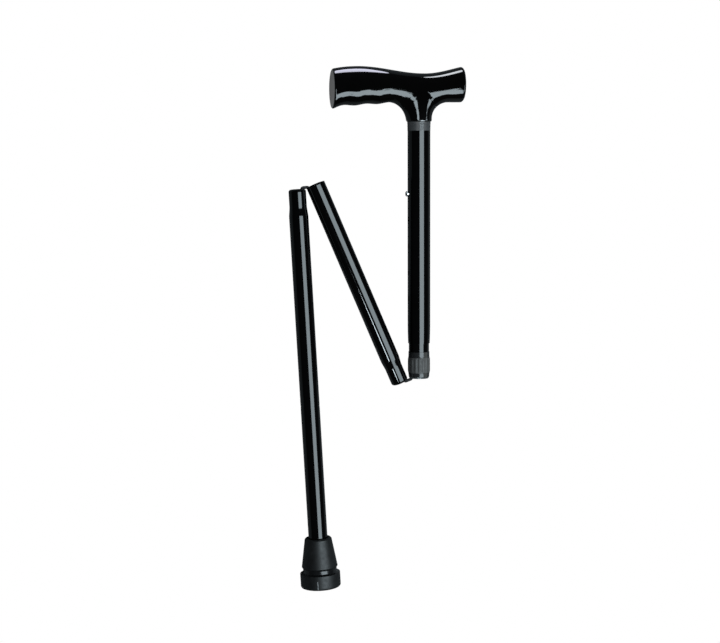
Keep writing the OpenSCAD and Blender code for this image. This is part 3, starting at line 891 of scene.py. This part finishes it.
def linked(lamp, state, *names):
    """Keeps a lamp's light on the named pieces, or off them."""
    group = bpy.data.collections.new(f"{lamp.name}_pieces")
    for name in names:
        group.objects.link(bpy.data.objects[name])
    lamp.light_linking.receiver_collection = group
    for item in group.collection_objects:
        item.light_linking.link_state = state


def all_but(names, *box, **look):
    """A softbox that lights all pieces but the named ones."""
    linked(softbox(*box, **look), "EXCLUDE", *names)


def only(name, *box, **look):
    """A softbox that lights one piece."""
    linked(softbox(*box, **look), "INCLUDE", name)


def camera():
    """Camera above the lying cane, a little towards the long arm and the handle."""
    yaw, rise, roll = math.radians(13.5), math.radians(6.2), math.radians(-0.2)
    distance, focal_px, image_w, sensor_w = 1.75, 1805.0, 720.0, 36.0
    target = Vector((-0.01705, 0.00773, axis_z))
    data = bpy.data.cameras.new("camera")
    data.sensor_width = sensor_w
    data.lens = focal_px / image_w * sensor_w
    made = bpy.data.objects.new("camera", data)
    back = Vector((-math.tan(yaw), math.tan(rise), 1)).normalized()
    side = Vector((0, 1, 0)).cross(back).normalized()
    turn = Matrix((side, back.cross(side), back)).transposed().to_4x4()
    made.matrix_world = Matrix.Translation(target + distance * back) @ turn @ Matrix.Rotation(roll, 4, "Z")
    bpy.context.scene.collection.objects.link(made)
    bpy.context.scene.camera = made


floor()
sky()
camera()

# Tubes and fittings
all_but(
    ("grip", "tube_middle"),
    "key", (0.47, -0.265, BOX_Z), size=(1.17, 1.1), radiance=6.4, spin=3)
only("tube_middle", "key_middle", (0.744, 0.004, BOX_Z), size=(1.53, 0.95), radiance=6.4, spin=20)
all_but(
    ("grip", "tube_middle", "tube_lower", "tip"),
    "top", (0.4, 1.75, 0.38), size=(1.2, 0.25), radiance=16.0, facing=(-0.2, -1, -0.2))
only("collar", "collar_left", (-0.635, 0.3, BOX_Z), size=(1.03, 2.0), radiance=1.3, tint=NEUTRAL)
only("collar", "collar_right", (2.0, 0.2, BOX_Z), size=(1.9, 2.2), radiance=0.9, tint=NEUTRAL)
only("nut", "low", (-0.25, -1.83, BOX_Z), size=(1.7, 0.3), radiance=14.0, facing=(0.1, 0.8, -0.6))
only(
    "nut", "nut_side", (1.1, -0.13, 0.6), size=(1.3, 1.3), radiance=0.95, facing=(-0.87, 0, -0.48),
    tint=(0.92, 1, 0.97))
only("tube_middle", "line", (-0.58, -0.69, BOX_Z), size=(0.26, 0.32), radiance=26.0, spin=23.3, shape="ELLIPSE")

# Handle: panels side by side for the strip along its front, each with its span along X and along Y
FRONT_PANELS = [
    ((0.24, 0.27), (-0.95, -0.5)), ((0.27, 0.41), (-1.45, -0.5)), ((0.41, 0.505), (-1.6, -0.4)),
    ((0.505, 0.55), (-1.6, -0.2)), ((0.55, 0.62), (-1.65, -0.42)), ((0.62, 0.82), (-1.7, -0.55)),
    ((0.82, 1.1), (-1.42, -0.93)),
]
for at, (x_span, y_span) in enumerate(FRONT_PANELS):
    panel_place = (sum(x_span) / 2, sum(y_span) / 2, BOX_Z)
    panel_size = (x_span[1] - x_span[0], y_span[1] - y_span[0])
    only("grip", f"grip_front_{at}", panel_place, panel_size, radiance=8.0)
only("grip", "grip_left", (-0.138, -0.337, BOX_Z), size=(0.29, 1.02), radiance=8.0, spin=45)
only("grip", "grip_left_hook", (-0.46, 0.085, BOX_Z), size=(0.46, 0.1), radiance=8.5, spin=9.5, shape="ELLIPSE")
only("grip", "grip_left_fill", (-0.51, 0.147, BOX_Z), size=(0.2, 0.045), radiance=7.0, spin=9.5)
only("grip", "grip_right", (1.786, -0.688, BOX_Z), size=(1.4, 0.535), radiance=6.0, spin=32)
only("grip", "grip_right_hook", (2.65, -0.13, BOX_Z), size=(1.55, 0.3), radiance=6.5, spin=-13, shape="ELLIPSE")
only(
    "grip", "crest", (-0.019, 0.295, 0.0285), size=(0.098, 0.027), radiance=14.0, facing=TO_FRONT,
    shape="ELLIPSE", tint=(0.82, 0.83, 1))
only(
    "grip", "nose", (0.078, 0.295, 0.03), size=(0.036, 0.018), radiance=13.6, facing=TO_FRONT,
    shape="ELLIPSE", tint=(0.9, 0.945, 1))
only(
    "grip", "foot", GRIP_FOOT + Vector((0.0043, -0.0057, 0.0181)), size=(0.01, 0.009), radiance=4.4,
    facing=(-0.17, 0.7, -0.7), beam=80)
only("grip", "end", (-0.054, 0.236, 0.0003), size=(0.02, 0.05), radiance=0.27, facing=UP, tint=NEUTRAL)
bpy.context.scene.view_settings.view_transform = "Standard"
